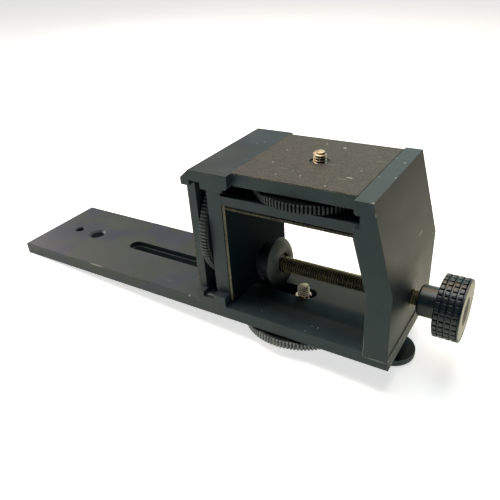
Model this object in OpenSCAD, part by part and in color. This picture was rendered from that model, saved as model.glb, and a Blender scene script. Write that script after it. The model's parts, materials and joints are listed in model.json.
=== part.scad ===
// Tripod mounting rail: a slotted rail with a box clamp at one end, three knurled camera-screw wheels,
// a clamping screw with a swivel disc, and a levelling foot.
// Origin: centre of the large threaded hole, on the rail's underside. +X runs towards the clamp's knob.

/* [Rail] */
// Length of the rail
rail_l = 240.2; // [225:0.1:320]
// Depth of the rail, front to back
rail_d = 57.5; // [52:0.1:62]
// Thickness of the rail
rail_t = 6.9; // [5.5:0.1:10]
// Distance of the row of holes and the slot from the rail's front edge
row_y = 29.2; // [27:0.1:31]
// Distance of the large threaded hole from the rail's left end
big_inset = 34.1; // [28:0.1:45]
// Diameter of the large hole, inside its 3/8 inch thread
big_d = 8.2; // [7.9:0.1:8.6]
// Width across the countersink of the large hole
big_rim_d = 10.8; // [9.5:0.1:12]
// Distance of the small threaded hole from the rail's left end
small_inset = 18.2; // [10:0.1:20]
// Width across the countersink of the small hole
small_rim_d = 6.9; // [6.4:0.1:8]
// Depth of the slot's upper part
slot_top_h = 3; // [2:0.1:4]
// Distance of the slot's left round end from the large hole
slot_start = 34.5; // [20:0.1:60]
// Width of the chamfer around the rail's top face
rail_edge = 0.4; // [0.2:0.1:1]

/* [Clamp frame] */
// How far the clamp stands out behind the rail
clamp_over = 5.3; // [4:0.1:12]
// How far the panels and pads are set back from the clamp's front
panel_inset = 4.7; // [3:0.1:6]
// How far the panels and pads are set back from the clamp's back
panel_back_inset = 2.3; // [1:0.1:6]
// Thickness of the top plate
top_plate_t = 5.6; // [4:0.1:7]
// Thickness of the outer side plate
side_plate_t = 4.1; // [3:0.1:5]
// Thickness of the inner side wall
inner_wall_t = 7.9; // [6:0.1:9]
// Thickness of the wall under the top gap
lower_wall_t = 4.6; // [4:0.1:6]
// Thickness of the grip pads on the two outer faces
pad_t = 0.8; // [0.4:0.1:1.5]
// Thickness of the pad on the throat's left side
side_lining_t = 1.9; // [1:0.1:3]
// Thickness of the pad on the throat's ceiling
top_lining_t = 2.1; // [1:0.1:3]
// How far a wheel's rim reaches into the walls at both ends of its gap
wheel_sunk = 1.8; // [1:0.1:2.4]
// Running room around each wheel's rim
rim_room = 0.9; // [0.5:0.1:1.5]

/* [Corner strip] */
// Width of the strip's top
strip_w = 26; // [25:0.1:30]
// Height of the strip over the inner wall
strip_h = 8.5; // [8:0.1:9]
// Height of the strip's outer lip
lip_h = 8; // [7:0.1:8.4]
// Thickness of the strip's outer lip
lip_t = 4.7; // [4:0.1:4.8]
// Width of the strip's bevel
bevel_w = 5; // [2:0.1:6]
// Height of the strip's bevel
bevel_h = 4.4; // [2:0.1:5]

/* [Foot block] */
// Height of the foot block over the rail
block_h = 5.3; // [4:0.1:7]
// Depth of the rail's groove that holds the foot block
block_sunk = 1.1; // [0.5:0.1:2]
// Width of the foot block's outer ridge
ridge_w = 4.1; // [3:0.1:4.4]

/* [Upright] */
// Thickness of the upright's straight lower part
upright_t = 11.4; // [11:0.1:14]
// Width of the upright's top face
upright_top_w = 7.9; // [7:0.1:10]
// Height of the crease on the upright's outer face
crease_z = 39.4; // [36:0.1:50]
// Height of the bend on the upright's inner face
bend_z = 37.5; // [34:0.1:48]
// Height of the upright's nose, below the top of the lower wall
nose_h = 4.3; // [4:0.1:6]
// How far the upright's nose stands over the throat
nose_over = 6.5; // [5:0.1:9]
// Depth of the rail's groove that holds the upright
upright_sunk = 3; // [1.5:0.1:4]
// Radius of the upright's lower corners
upright_r = 2; // [1:0.1:2.5]
// Rail left standing outside the upright
end_lip = 0.6; // [0.4:0.1:3]

/* [Camera screws] */
// Diameter over the 1/4 inch thread
stud_d = 6.3; // [6.1:0.1:6.35]
// Height of each camera screw above the face it passes through
stud_h = 4.6; // [4:0.1:6]
// Diameter of the wheels over their ribs
wheel_d = 63; // [61.6:0.1:63.6]
// Thickness of the wheels
wheel_t = 4.5; // [4:0.1:4.8]
// Spacing of the ribs around a wheel
rib_pitch = 1.8; // [1.5:0.1:2.5]
// Depth of the grooves between the ribs
rib_h = 0.5; // [0.3:0.1:0.8]
// Height of the thrust boss on a wheel's outer face
boss_h = 0.8; // [0.4:0.1:1.5]
// Gap between a wheel and the wall behind it
wheel_room = 0.5; // [0.3:0.1:0.7]
// Depth of the 1/4 inch thread
thread_h = 0.45; // [0.3:0.05:0.6]
// Diameter of the screw's lower journal
journal_d = 5; // [4:0.1:5.5]
// Diameter of the screw's flange, sunk into the wheel
flange_d = 12; // [10:0.1:14]
// Thickness of the screw's flange
flange_t = 1.4; // [1:0.1:2]
// Hole in the grip pads around the camera screws
pad_hole_d = 9.4; // [8:0.1:12]
// Free space between the swivel disc and the rail's screw
screw_room = 7.73; // [4:0.01:14]
// How far the rail's screw stands from the slot's right end
screw_rest = 2.8; // [2:0.1:6]
// Room of the rail's screw in the slot, on each side
stud_room = 0.25; // [0.15:0.05:0.5]
// Diameter of the retaining clip in the slot
clip_d = 8.4; // [8:0.1:8.5]
// Thickness of the retaining clip
clip_t = 1.3; // [1:0.1:1.6]
// Room of the retaining clip in the slot, on each side
clip_room = 0.2; // [0.15:0.05:0.5]

/* [Clamping screw] */
// Diameter of the clamping rod
rod_d = 8; // [7.5:0.1:8.5]
// Thread spacing of the clamping rod
rod_pitch = 1.25; // [1:0.05:1.75]
// Gap between the swivel disc and the rail's top
disc_room = 0.36; // [0.3:0.02:3]
// Gap between the throat's side pad and the middle of the swivel disc's face
disc_gap = 4.9; // [4.5:0.1:6]
// Diameter of the swivel disc's thin flange
disc_d = 26.2; // [22:0.1:26.4]
// Diameter of the swivel disc's plug, in front of the flange
plug_d = 21; // [17:0.1:21.6]
// Length of the plug
plug_l = 7.9; // [6.5:0.1:9]
// Thickness of the flange's edge
disc_edge_t = 0.6; // [0.4:0.1:1.2]
// Height of the flange's domed back
dome_l = 2.2; // [1.5:0.1:3]
// How far the swivel disc leans back on its ball
disc_tilt = 9; // [0:0.5:10]
// Diameter of the clamping rod's ball
ball_d = 6.4; // [6:0.1:6.6]
// Depth of the ball's centre in the swivel disc
ball_depth = 6.6; // [5:0.1:7]
// Diameter of the stalk between the ball and the thread
stalk_d = 4.4; // [3.8:0.1:4.5]
// Gap between the upright and the knob's hub
hub_gap = 3.5; // [3.3:0.1:6]
// Diameter of the hub
hub_d = 15; // [13:0.1:18]
// Length of the hub
hub_l = 8.9; // [7:0.1:12]
// Diameter of the knob over its blocks
knob_d = 29.4; // [26:0.1:31]
// Length of the knob
knob_l = 11.7; // [10:0.1:14]
// Number of blocks around the knob
knob_columns = 32; // [24:1:36]
// Number of rows of blocks
knob_rows = 4; // [3:1:5]
// Depth of the grooves between the blocks
knob_groove = 0.9; // [0.6:0.1:1.2]
// Thickness of the plain ring at the knob's outer end
knob_ring_t = 0.7; // [0.5:0.1:1.2]
// Thickness of the knob's end disc
face_t = 0.7; // [0.5:0.1:1.2]
// Diameter of the hole in the knob's end disc
face_hole_d = 13; // [11:0.1:15]
// Depth of the recess in the knob's end
face_hole_h = 3; // [2:0.1:3.5]

/* [Levelling foot] */
// Diameter of the foot disc
foot_d = 22.8; // [20:0.1:24]
// Thickness of the foot disc
foot_t = 3.7; // [3:0.1:6]
// Gap between the rail and the foot disc
foot_gap = 10; // [9:0.1:12]
// How far the foot can be screwed in
foot_rise = 6.5; // [4:0.1:7]
// Diameter of the foot's threaded stem
stem_d = 6; // [5:0.1:6.5]
// Thread spacing of the stem
stem_pitch = 1; // [0.75:0.05:1.25]
// Distance of the foot's axis from the upright's inner face
foot_inset = 4.3; // [4.2:0.1:6]

/* [Fixings] */
// Diameter of the countersunk screws
screw_d = 4; // [3:0.1:4.2]
// Diameter of the countersunk heads
screw_head_d = 7.4; // [6.8:0.1:7.8]
// Length of the countersunk screws
screw_l = 22; // [20:0.1:24]
// Diameter of the small countersunk screws
small_screw_d = 2.5; // [2:0.1:2.6]
// Diameter of the small countersunk heads
small_head_d = 4.2; // [3.8:0.1:4.3]
// Length of the small countersunk screws
small_screw_l = 15; // [13:0.1:17]
// Diameter of the plain joining pins
pin_d = 2; // [1.5:0.1:2.4]
// Length of the plain joining pins
pin_l = 7; // [5:0.1:8]
// Distance of the fixings from the panels' front and back edges
fix_inset = 9; // [7:0.1:10]

/* [Hidden] */
// Radial room of a fixed pin or screw in its hole
fit = 0.03;
// Radial room of a turning shaft in its hole
run = 0.07;
// Gap between two pieces that turn or slide past each other
clear = 0.3;
// Smallest wall between a blind hole and the next face
web = 1;
// Small overrun of a cutting shape
cut = 1;
// Smoothness of the round shapes
round_fn = 96;
small_fn = 32;

// Threads
undercut_d = stud_d - 2 * thread_h;
small_d = undercut_d;

// Lines along the rail
x0 = -big_inset;
x1 = x0 + rail_l;
y0 = -row_y;
outer_x = x1 - end_lip;
base_x = outer_x - upright_t;
small_x = x0 + small_inset;
slot_w = stud_d + 2 * stud_room;
slot_top_w = clip_d + 2 * clip_room;

// The two gaps are as long as a wheel, less what its rim is sunk at both ends
gap_l = wheel_d - 2 * wheel_sunk;
wheel_gap = wheel_t + boss_h + 2 * wheel_room;
clamp_h = rail_t + block_h + gap_l + lip_h;

// Faces of the clamp, from the upright's nose to the left
nose_x = base_x - nose_over;
strip_x1 = nose_x - gap_l;
strip_x0 = strip_x1 - strip_w;
plate_x0 = strip_x0 + pad_t / 4;
pad_x0 = plate_x0 - pad_t;
gap_x0 = plate_x0 + side_plate_t;
wall_x0 = gap_x0 + wheel_gap;
wall_x1 = wall_x0 + inner_wall_t;
lining_x = wall_x1 + side_lining_t;

// Levels of the clamp, from its top down
pad_z0 = clamp_h - pad_t;
top_plate_z0 = pad_z0 - top_plate_t;
lower_wall_z1 = top_plate_z0 - wheel_gap;
lower_wall_z0 = lower_wall_z1 - lower_wall_t;
ceiling_z = lower_wall_z0 - top_lining_t;
strip_z0 = clamp_h - strip_h;
lip_z0 = clamp_h - lip_h;
block_z1 = rail_t + block_h;
block_z0 = rail_t - block_sunk;

// Depth lines of the set-back panels
clamp_d = rail_d + clamp_over;
panel_y0 = y0 + panel_inset;
panel_y1 = y0 + clamp_d - panel_back_inset;
panel_y = (panel_y0 + panel_y1) / 2;
fix_ys = [panel_y0 + fix_inset, panel_y1 - fix_inset];

// Wheels and camera screws
wheel_r = wheel_d / 2;
stud_r = stud_d / 2;
top_wheel_x = (strip_x1 + nose_x) / 2;
top_wheel_z = lower_wall_z1 + wheel_room;
side_wheel_z = (block_z1 + lip_z0) / 2;
side_wheel_x = wall_x0 - wheel_room;
boss_r = flange_d / 2 + flange_t;
rail_wheel_z = -1.5 * wheel_room - boss_h - wheel_t;
journal_l = lower_wall_t - web;
groove_z = side_wheel_z - wheel_r - rim_room;
recess_z = side_wheel_z + wheel_r + rim_room;
relief_x = top_wheel_x + wheel_r + rim_room;
clip_z0 = rail_t - slot_top_h + clear;
neck_r = undercut_d / 2;
neck_room = 0.1;

// Clamping screw
rod_y = y0 + clamp_d / 2;
rod_r = rod_d / 2;
thread_depth_share = 0.4;
flange_l = plug_l + disc_edge_t;
disc_l = flange_l + dome_l;
rod_z = rail_t + disc_room + disc_d / 2 * cos(disc_tilt) - (flange_l - ball_depth) * sin(disc_tilt);
ring_over = 1.2;
back_over = 4;
ring_t = 1;
ring_r = rod_r + ring_over;
back_r = rod_r + back_over;
ball_r = ball_d / 2;
ball_x = lining_x + disc_gap + ball_depth * cos(disc_tilt);
disc_x1 = ball_x + (disc_l - ball_depth) * cos(disc_tilt) + back_r * sin(disc_tilt);
ring_hole_share = 0.89;
ring_hole_r = ball_r * ring_hole_share;
ring_l = sqrt(pow(ball_r + run, 2) - pow(ring_hole_r, 2));
thread_x0 = ball_x + (ring_l + ring_t) / cos(disc_tilt) + rod_r * tan(disc_tilt) + clear;
hub_x0 = outer_x + hub_gap;
knob_x0 = hub_x0 + hub_l;
knob_x1 = knob_x0 + knob_l;
knob_core_r = knob_d / 2 - knob_groove;
face_r = knob_core_r - clear;
rod_x1 = knob_x1 - face_hole_h - face_t - web;
spigot_r = hub_d / 2 - web;
spigot_l = knob_l * 0.55;
grub_r = 1.5;
grub_sunk = 0.5;

// The rail's screw and the slot's right end
rail_wheel_x = disc_x1 + screw_room + stud_r;
slot_x0 = slot_start;
slot_x1 = rail_wheel_x + screw_rest;
clip_grip = 0.4;
clip_ear_r = 0.8;

// Levelling foot
foot_x = base_x + foot_inset;
foot_z1 = -foot_gap;
foot_z0 = foot_z1 - foot_t;
stem_top = rod_z - rod_r - foot_rise - web;
stem_bore_top = stem_top + foot_rise + clear;
foot_edge_r = 0.7;

// Fixing places
groove_under = 1.1;
wall_fix_x = (wall_x0 + wall_x1 + groove_under) / 2;
upright_fix_x = (base_x + outer_x) / 2;
side_pin_x = plate_x0 + (side_plate_t + pad_t / 2) / 2;
corner_pin_z = strip_z0 - pin_l / 2;
plate_pin_z = top_plate_z0 + top_plate_t / 2;
low_pin_z = (lower_wall_z0 + lower_wall_z1) / 2;

// A block from its low corner to its high corner
module block(low, high) {
    translate(low) cube(high - low);
}

// An outline in X and Z, drawn out along Y from y_low to y_high
module section(y_low, y_high) {
    translate([0, y_high, 0]) rotate([90, 0, 0]) linear_extrude(y_high - y_low) children();
}

// Round bars of radius r along X and along Z
module bar_x(x_low, x_high, y, z, r, fn = small_fn) {
    translate([x_low, y, z]) rotate([0, 90, 0]) cylinder(h = x_high - x_low, r = r, $fn = fn);
}

module bar_z(x, y, z_low, z_high, r, fn = small_fn) {
    translate([x, y, z_low]) cylinder(h = z_high - z_low, r = r, $fn = fn);
}

// A slot-shaped hole through the rail between two levels
module slot_cut(width, z_low, z_high) {
    bar_z(slot_x0, 0, z_low, z_high, width / 2, round_fn);
    bar_z(slot_x1, 0, z_low, z_high, width / 2, round_fn);
    block([slot_x0, -width / 2, z_low], [slot_x1, width / 2, z_high]);
}

// A threaded hole with a countersunk rim on the rail's top
module rim_hole(x, d, rim_d) {
    rim_h = (rim_d - d) / 2;
    bar_z(x, 0, -cut, rail_t + cut, d / 2, round_fn);
    translate([x, 0, rail_t - rim_h])
        cylinder(h = 2 * rim_h, r1 = d / 2, r2 = d / 2 + 2 * rim_h, $fn = round_fn);
}

// A countersunk screw standing up from z, its head's face down
module flat_screw(d, head_d, l) {
    head_h = (head_d - d) / 2;
    cylinder(h = l, r = d / 2, $fn = small_fn);
    cylinder(h = head_h, r1 = head_d / 2, r2 = d / 2, $fn = small_fn);
}

// The hole for such a screw, with its room
module flat_screw_hole(d, head_d, l) {
    head_h = (head_d - d) / 2 + fit;
    cylinder(h = l + d / 4, r = d / 2 + fit, $fn = small_fn);
    cylinder(h = head_h, r1 = head_d / 2 + fit, r2 = d / 2 + fit, $fn = small_fn);
    translate([0, 0, -cut]) cylinder(h = cut, r = head_d / 2 + fit, $fn = small_fn);
}

// The drive recess in a screw's head
module drive_cut(d) {
    key_r = d / 3;
    translate([0, 0, -cut]) cylinder(h = cut + d / 3, r = key_r, $fn = 6);
}

module place_wall_screws() {
    for (y = fix_ys) translate([wall_fix_x, y, 0]) children();
}

module place_upright_screws() {
    for (y = fix_ys) translate([upright_fix_x, y, 0]) children();
}

module place_lower_wall_screws() {
    for (y = fix_ys) translate([wall_x0, y, low_pin_z]) rotate([0, 90, 0]) children();
}

// Joining pins, grown by room when they are cut
module corner_pin_shapes(room = 0) {
    for (y = fix_ys)
        bar_z(wall_fix_x, y, corner_pin_z - room, corner_pin_z + pin_l + room, pin_d / 2 + room);
}

module side_plate_pin_shapes(room = 0) {
    for (y = fix_ys)
        for (z = [block_z1, lip_z0])
            bar_z(side_pin_x, y, z - pin_l / 4 - room, z + pin_l / 4 + room, pin_d / 2 + room);
}

module top_plate_pin_shapes(room = 0) {
    for (y = fix_ys)
        for (x = [strip_x1, nose_x])
            bar_x(x - pin_l / 2 - room, x + pin_l / 2 + room, y, plate_pin_z, pin_d / 2 + room);
}

module lower_wall_pin_shapes(room = 0) {
    for (y = fix_ys)
        bar_x(nose_x - pin_l / 2 - room, nose_x + pin_l / 2 + room, y, low_pin_z, pin_d / 2 + room);
}

module foot_block_outline() {
    x = plate_x0 + pad_t;
    groove_x1 = wall_x0 + groove_under;
    polygon([[x, block_z0], [wall_x1, block_z0], [wall_x1, block_z1], [groove_x1, block_z1],
        [groove_x1, groove_z], [x + ridge_w, groove_z], [x + ridge_w, block_z1], [x, block_z1]]);
}

module upright_outline() {
    low = rail_t - upright_sunk;
    r = upright_r;
    ledge_z = lower_wall_z1 + wheel_room / 2;
    outer_arc = [for (a = [-90:15:0]) [outer_x - r + r * cos(a), low + r + r * sin(a)]];
    inner_arc = [for (a = [180:15:270]) [base_x + r + r * cos(a), low + r + r * sin(a)]];
    polygon(concat(inner_arc, outer_arc, [[outer_x, crease_z], [nose_x + upright_top_w, clamp_h],
        [nose_x, clamp_h], [nose_x, top_plate_z0 + pad_t], [nose_x + pad_t, top_plate_z0],
        [relief_x, top_plate_z0], [relief_x, ledge_z], [nose_x, ledge_z],
        [nose_x, lower_wall_z1 - nose_h], [base_x, bend_z]]));
}

module strip_outline() {
    r = lip_t / 6;
    step_w = bevel_w * 0.3;
    tongue_x = strip_x1 - step_w;
    notch_z = strip_z0 + step_w;
    lip_left = [for (a = [180:30:270]) [strip_x0 + r + r * cos(a), lip_z0 + r + r * sin(a)]];
    polygon(concat([[strip_x0 + bevel_w, clamp_h], [strip_x0, clamp_h - bevel_h]], lip_left,
        [[strip_x0 + lip_t, lip_z0], [strip_x0 + lip_t, recess_z], [wall_x0 + clear, recess_z],
        [wall_x0 + clear, strip_z0], [tongue_x - step_w, strip_z0], [tongue_x - step_w, notch_z],
        [tongue_x, notch_z], [strip_x1, notch_z + step_w], [strip_x1, clamp_h]]));
}

module rail() {
    color("#26292c") difference() {
        union() {
            block([x0, y0, 0], [x1, y0 + rail_d, rail_t - rail_edge]);
            hull() {
                block([x0, y0, rail_t - 2 * rail_edge], [x1, y0 + rail_d, rail_t - rail_edge]);
                block([x0 + rail_edge, y0 + rail_edge, rail_t - rail_edge],
                    [x1 - rail_edge, y0 + rail_d - rail_edge, rail_t]);
            }
        }
        slot_cut(slot_w, -cut, rail_t);
        slot_cut(slot_top_w, rail_t - slot_top_h, rail_t + cut);
        rim_hole(0, big_d, big_rim_d);
        rim_hole(small_x, small_d, small_rim_d);
        block([plate_x0 + pad_t, y0 - cut, block_z0], [wall_x1, y0 + rail_d + cut, rail_t + cut]);
        section(y0 - cut, y0 + rail_d + cut) upright_outline();
        place_wall_screws() flat_screw_hole(screw_d, screw_head_d, screw_l);
        place_upright_screws() flat_screw_hole(screw_d, screw_head_d, screw_l);
        bar_z(foot_x, 0, -cut, rail_t + cut, stem_d / 2 + run);
    }
}

module foot_block() {
    color("#222528") difference() {
        section(y0, y0 + clamp_d) foot_block_outline();
        place_wall_screws() flat_screw_hole(screw_d, screw_head_d, screw_l);
        side_plate_pin_shapes(fit);
    }
}

module right_upright() {
    color("#2a2d30") difference() {
        section(y0, y0 + clamp_d) upright_outline();
        bar_x(nose_x - cut, outer_x + cut, rod_y, rod_z, rod_r + run, round_fn);
        place_upright_screws() flat_screw_hole(screw_d, screw_head_d, screw_l);
        bar_z(foot_x, 0, -cut, stem_bore_top, stem_d / 2 + run);
        top_plate_pin_shapes(fit);
        lower_wall_pin_shapes(fit);
    }
}

module corner_strip() {
    color("#2b2d2e") difference() {
        section(y0, y0 + clamp_d) strip_outline();
        corner_pin_shapes(fit);
        side_plate_pin_shapes(fit);
        top_plate_pin_shapes(fit);
    }
}

module side_plate() {
    color("#232629") difference() {
        block([plate_x0, panel_y0, block_z1], [gap_x0, panel_y1, lip_z0]);
        bar_x(plate_x0 - cut, gap_x0 + cut, panel_y, side_wheel_z, stud_r + run, round_fn);
        side_plate_pin_shapes(fit);
    }
}

module inner_wall() {
    color("#24272a") difference() {
        block([wall_x0, panel_y0, block_z1], [wall_x1, panel_y1, strip_z0]);
        bar_x(wall_x0 - cut, wall_x0 + journal_l + run, panel_y, side_wheel_z,
            journal_d / 2 + run, round_fn);
        place_wall_screws() flat_screw_hole(screw_d, screw_head_d, screw_l);
        place_lower_wall_screws() flat_screw_hole(small_screw_d, small_head_d, small_screw_l);
        corner_pin_shapes(fit);
    }
}

module lower_wall() {
    color("#2b2e31") difference() {
        block([wall_x1, panel_y0, lower_wall_z0], [nose_x, panel_y1, lower_wall_z1]);
        bar_z(top_wheel_x, panel_y, lower_wall_z1 - journal_l - run, lower_wall_z1 + cut,
            journal_d / 2 + run, round_fn);
        place_lower_wall_screws() flat_screw_hole(small_screw_d, small_head_d, small_screw_l);
        lower_wall_pin_shapes(fit);
    }
}

module top_plate() {
    color("#2d3033") difference() {
        block([strip_x1, panel_y0, top_plate_z0], [nose_x, panel_y1, pad_z0]);
        bar_z(top_wheel_x, panel_y, top_plate_z0 - cut, pad_z0 + cut, stud_r + run, round_fn);
        top_plate_pin_shapes(fit);
    }
}

module top_pad() {
    color("#3a3a37") difference() {
        block([strip_x1, panel_y0, pad_z0], [nose_x, panel_y1, clamp_h]);
        bar_z(top_wheel_x, panel_y, pad_z0 - cut, clamp_h + cut, pad_hole_d / 2, round_fn);
    }
}

module side_pad() {
    color("#303230") difference() {
        block([pad_x0, panel_y0, block_z1], [plate_x0, panel_y1, lip_z0 - pad_t]);
        bar_x(pad_x0 - cut, plate_x0 + cut, panel_y, side_wheel_z, pad_hole_d / 2, round_fn);
    }
}

module throat_side_pad() {
    color("#39362f") difference() {
        block([wall_x1, panel_y0, rail_t + 2 * pad_t], [lining_x, panel_y1, lower_wall_z0]);
    }
}

module throat_top_pad() {
    color("#6b604e")
        block([lining_x, panel_y0, ceiling_z], [nose_x - pad_t, panel_y1, lower_wall_z0]);
}

// One knurled wheel lying flat, its lower face at z = 0 and its thrust boss on top
module ribbed_wheel() {
    n = round(PI * wheel_d / rib_pitch);
    step = 360 / n;
    tip_share = 0.22;
    foot_share = 0.38;
    edge = [for (i = [0:n - 1], p = [[-foot_share, -1], [-tip_share, 0], [tip_share, 0], [foot_share, -1]])
        let (r = wheel_r + p[1] * rib_h, a = (i + p[0]) * step) [r * cos(a), r * sin(a)]];
    difference() {
        union() {
            linear_extrude(wheel_t) polygon(edge);
            cylinder(h = wheel_t + boss_h, r = boss_r, $fn = round_fn);
        }
        translate([0, 0, -cut]) cylinder(h = wheel_t + boss_h + 2 * cut, r = stud_r + fit, $fn = round_fn);
        translate([0, 0, -cut]) cylinder(h = cut + flange_t + fit, r = flange_d / 2 + fit, $fn = round_fn);
    }
}

// One camera screw standing up from the wheel's lower face, l long above it, with an undercut at neck_z
module camera_screw(l, journal, neck_z, neck_h) {
    tip = stud_d / 12;
    difference() {
        union() {
            if (journal > 0) translate([0, 0, -journal])
                cylinder(h = journal + flange_t, r = journal_d / 2, $fn = round_fn);
            cylinder(h = flange_t, r = flange_d / 2, $fn = round_fn);
            cylinder(h = l - tip, r = stud_r, $fn = round_fn);
            translate([0, 0, l - tip]) cylinder(h = tip, r1 = stud_r, r2 = stud_r - tip, $fn = round_fn);
        }
        translate([0, 0, neck_z]) difference() {
            cylinder(h = neck_h, r = stud_r + cut, $fn = round_fn);
            cylinder(h = neck_h, r = neck_r, $fn = round_fn);
        }
    }
}

module at_top_wheel() {
    translate([top_wheel_x, panel_y, top_wheel_z]) children();
}

module at_side_wheel() {
    translate([side_wheel_x, panel_y, side_wheel_z]) rotate([0, -90, 0]) children();
}

module at_rail_wheel() {
    translate([rail_wheel_x, 0, rail_wheel_z]) children();
}

module top_wheel() {
    color("#26282a") at_top_wheel() ribbed_wheel();
}

module top_screw() {
    l = clamp_h + stud_h - top_wheel_z;
    color("#c9a25a") at_top_wheel() camera_screw(l, wheel_room + journal_l, l - stud_h - pad_t, pad_t);
}

module side_wheel() {
    color("#26282a") at_side_wheel() ribbed_wheel();
}

module side_screw() {
    l = side_wheel_x - pad_x0 + stud_h;
    color("#c9a25a") at_side_wheel() camera_screw(l, wheel_room + journal_l, l - stud_h - pad_t, pad_t);
}

module rail_wheel() {
    color("#2e3134") at_rail_wheel() ribbed_wheel();
}

module rail_screw() {
    slot = stud_r / 3;
    color("#d8cdb4") at_rail_wheel() difference() {
        camera_screw(rail_t + stud_h - rail_wheel_z, 0, clip_z0 - neck_room - rail_wheel_z,
            clip_t + 2 * neck_room);
        block([-flange_d, -slot / 2, -cut], [flange_d, slot / 2, flange_t / 2]);
    }
}

module rail_clip() {
    color("#d9d2c0") translate([rail_wheel_x, 0, clip_z0]) linear_extrude(clip_t) difference() {
        circle(r = clip_d / 2, $fn = round_fn);
        circle(r = neck_r + run, $fn = round_fn);
        translate([0, clip_grip - neck_r]) square([clip_d, 2 * (neck_r - clip_grip)]);
        for (a = [110, 250]) rotate(a) translate([neck_r + run, 0])
            circle(r = clip_ear_r, $fn = small_fn);
    }
}

// A thread-like bar: rings of the thread's pitch between z = 0 and l, with flat crests
module ringed_bar(r, pitch, l) {
    n = floor(l / pitch);
    deep = pitch * thread_depth_share;
    crest_share = 0.14;
    teeth = [for (i = [0:n - 1], p = [[crest_share, 0], [0.5, -1], [1 - crest_share, 0]])
        [r + p[1] * deep, (i + p[0]) * pitch]];
    rotate_extrude($fn = round_fn) polygon(concat([[0, 0], [r, 0]], teeth, [[r, l], [0, l]]));
}

module clamp_rod() {
    color("#5d5a50") {
        translate([thread_x0, rod_y, rod_z]) rotate([0, 90, 0])
            ringed_bar(rod_r, rod_pitch, rod_x1 - thread_x0);
        bar_x(ball_x, thread_x0, rod_y, rod_z, stalk_d / 2, round_fn);
        translate([ball_x, rod_y, rod_z]) sphere(r = ball_r, $fn = round_fn);
    }
}

// Places a piece that leans with the swivel disc, its axis up and its origin at the ball's centre
module on_ball() {
    translate([ball_x, rod_y, rod_z]) rotate([0, 90 - disc_tilt, 0]) children();
}

module pressure_disc() {
    r = disc_d / 2;
    edge = plug_d / 40;
    seat_r = ball_r + run;
    dome_shares = [[0.97, 0.4], [0.82, 0.85]];
    dome = [for (p = dome_shares) [r * p[0], flange_l + dome_l * p[1]]];
    color("#222426") on_ball() difference() {
        translate([0, 0, -ball_depth]) rotate_extrude($fn = round_fn)
            polygon(concat([[0, 0], [plug_d / 2 - edge, 0], [plug_d / 2, edge], [plug_d / 2, plug_l],
                [r, plug_l], [r, flange_l]], dome, [[back_r, disc_l], [0, disc_l]]));
        sphere(r = seat_r, $fn = round_fn);
        cylinder(h = ring_l, r = seat_r, $fn = round_fn);
        translate([0, 0, ring_l]) cylinder(h = disc_l, r = ring_r + fit, $fn = round_fn);
    }
}

module disc_ring() {
    color("#3a3c3e") on_ball() translate([0, 0, ring_l]) difference() {
        cylinder(h = ring_t, r = ring_r, $fn = round_fn);
        translate([0, 0, -cut]) cylinder(h = ring_t + 2 * cut, r = ring_hole_r, $fn = round_fn);
    }
}

module knob_hub() {
    r = hub_d / 2;
    edge = hub_l / 9;
    color("#3c3f43") difference() {
        translate([hub_x0, rod_y, rod_z]) rotate([0, 90, 0]) rotate_extrude($fn = round_fn)
            polygon([[rod_r + fit, 0], [r - edge, 0], [r, edge], [r, hub_l], [spigot_r, hub_l],
                [spigot_r, hub_l + spigot_l], [rod_r + fit, hub_l + spigot_l]]);
        bar_z(hub_x0 + hub_l / 2, rod_y, rod_z, rod_z + r + cut, grub_r + fit);
    }
}

module knob_grip() {
    row = (knob_l - knob_ring_t) / knob_rows;
    n = knob_columns;
    step = 360 / n;
    groove_share = 0.27;
    half_share = (1 - groove_share) / 2;
    edge = [for (i = [0:n - 1], p = [[-half_share, -1], [-half_share, 0], [half_share, 0], [half_share, -1]])
        let (r = knob_d / 2 + p[1] * knob_groove, a = (i + p[0]) * step) [r * cos(a), r * sin(a)]];
    color("#232527") difference() {
        translate([knob_x0, rod_y, rod_z]) rotate([0, 90, 0]) difference() {
            union() {
                linear_extrude(knob_l) polygon(edge);
                translate([0, 0, knob_l - knob_ring_t])
                    cylinder(h = knob_ring_t, r = knob_d / 2, $fn = round_fn);
            }
            for (i = [0:knob_rows]) translate([0, 0, (i - groove_share / 2) * row]) difference() {
                cylinder(h = groove_share * row, r = knob_d / 2 + cut, $fn = round_fn);
                cylinder(h = groove_share * row, r = knob_core_r, $fn = round_fn);
            }
            translate([0, 0, knob_l - face_t]) cylinder(h = face_t + cut, r = face_r + fit, $fn = round_fn);
            translate([0, 0, knob_l - face_t - face_hole_h])
                cylinder(h = face_hole_h + cut, r = face_hole_d / 2, $fn = round_fn);
        }
        bar_x(knob_x0 - cut, rod_x1 + fit, rod_y, rod_z, rod_r + fit, round_fn);
        bar_x(knob_x0 - cut, knob_x0 + spigot_l + fit, rod_y, rod_z, spigot_r + fit, round_fn);
    }
}

module knob_face() {
    color("#cfc8b8") difference() {
        bar_x(knob_x1 - face_t, knob_x1, rod_y, rod_z, face_r, round_fn);
        bar_x(knob_x1 - face_t - cut, knob_x1 + cut, rod_y, rod_z, face_hole_d / 2, round_fn);
    }
}

module hub_grub_screw() {
    top = rod_z + hub_d / 2 - grub_sunk;
    x = hub_x0 + hub_l / 2;
    color("#1d1e20") difference() {
        bar_z(x, rod_y, rod_z + rod_r + fit, top, grub_r);
        translate([x, rod_y, top - grub_r]) cylinder(h = grub_r + cut, r = grub_r / 2, $fn = 6);
    }
}

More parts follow.
